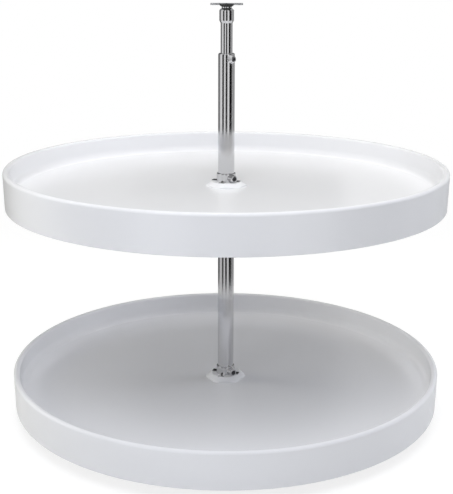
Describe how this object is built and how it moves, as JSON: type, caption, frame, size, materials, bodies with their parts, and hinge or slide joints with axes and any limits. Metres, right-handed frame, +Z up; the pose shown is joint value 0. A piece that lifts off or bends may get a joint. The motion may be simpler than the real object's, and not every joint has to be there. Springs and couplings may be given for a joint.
{
  "type": "lazy susan shelf unit",
  "caption": "Round rimmed trays clamped on a chromed telescoping post that turns between a floor pivot and a ceiling plate.",
  "frame": {"origin": "centre of the base plate's underside, on the spin axis", "axes": "+Z up the post; the front faces -Y, with +X to the right"},
  "size_m": [0.711, 0.711, 0.668],
  "materials": {
    "white_polymer": "moulded white polymer, semi-gloss",
    "chrome": "bright chrome plate",
    "zinc_plate": "zinc-plated pressed steel",
    "steel": "turned steel",
    "screw_steel": "black oxide",
    "white_nylon": "natural nylon",
    "black_nylon": "black nylon"
  },
  "bodies": {
    "base": {"base_plate": "zinc_plate", "base_pivot_pin": "steel", "lower_race": "steel"},
    "ball_cage": {"bearing_cage": "white_nylon", "bearing_balls": "steel"},
    "post": {"outer_post": "chrome", "bottom_plug": "white_nylon", "upper_race": "steel"},
    "post_screw": {"post_lock_screw": "screw_steel"},
    "inner_tube": {"inner_post": "chrome", "top_bushing": "white_nylon"},
    "top_bracket": {"top_plate": "zinc_plate", "top_pivot_pin": "steel", "top_washer": "black_nylon"},
    "lower_shelf": {"lower_tray": "white_polymer", "lower_clamp_collar": "chrome", "lower_support_ring": "white_nylon"},
    "lower_screw": {"lower_set_screw": "screw_steel"},
    "upper_shelf": {"upper_tray": "white_polymer", "upper_clamp_collar": "chrome", "upper_support_ring": "white_nylon"},
    "upper_screw": {"upper_set_screw": "screw_steel"}
  },
  "joints": [
    {"name": "post_spin", "type": "hinge", "parent": "base", "child": "post", "pos_m": [0, 0, 0.0084], "axis": [0, 0, 1], "continuous": true},
    {"name": "cage_roll", "type": "hinge", "parent": "base", "child": "ball_cage", "pos_m": [0, 0, 0.0084], "axis": [0, 0, 1], "continuous": true},
    {"name": "post_extension", "type": "slide", "parent": "post", "child": "inner_tube", "axis": [0, 0, 1], "range_m": [-0.045, 0.12]},
    {"name": "top_swivel", "type": "hinge", "parent": "inner_tube", "child": "top_bracket", "pos_m": [0, 0, 0.65], "axis": [0, 0, 1], "continuous": true},
    {"name": "post_screw_travel", "type": "slide", "parent": "post", "child": "post_screw", "axis": [0.6691, -0.7431, 0], "range_m": [0, 0.003]},
    {"name": "lower_shelf_height", "type": "slide", "parent": "post", "child": "lower_shelf", "axis": [0, 0, 1], "range_m": [-0.009, 0.13]},
    {"name": "lower_screw_travel", "type": "slide", "parent": "lower_shelf", "child": "lower_screw", "axis": [0.5299, -0.848, 0], "range_m": [0, 0.003]},
    {"name": "upper_shelf_height", "type": "slide", "parent": "post", "child": "upper_shelf", "axis": [0, 0, 1], "range_m": [-0.14, 0.17]},
    {"name": "upper_screw_travel", "type": "slide", "parent": "upper_shelf", "child": "upper_screw", "axis": [0.5299, -0.848, 0], "range_m": [0, 0.003]}
  ],
  "couplings": [
    {"joint": "cage_roll", "follows": "post_spin", "ratio": 0.5},
    {"joint": "top_swivel", "follows": "post_spin", "ratio": -1}
  ]
}
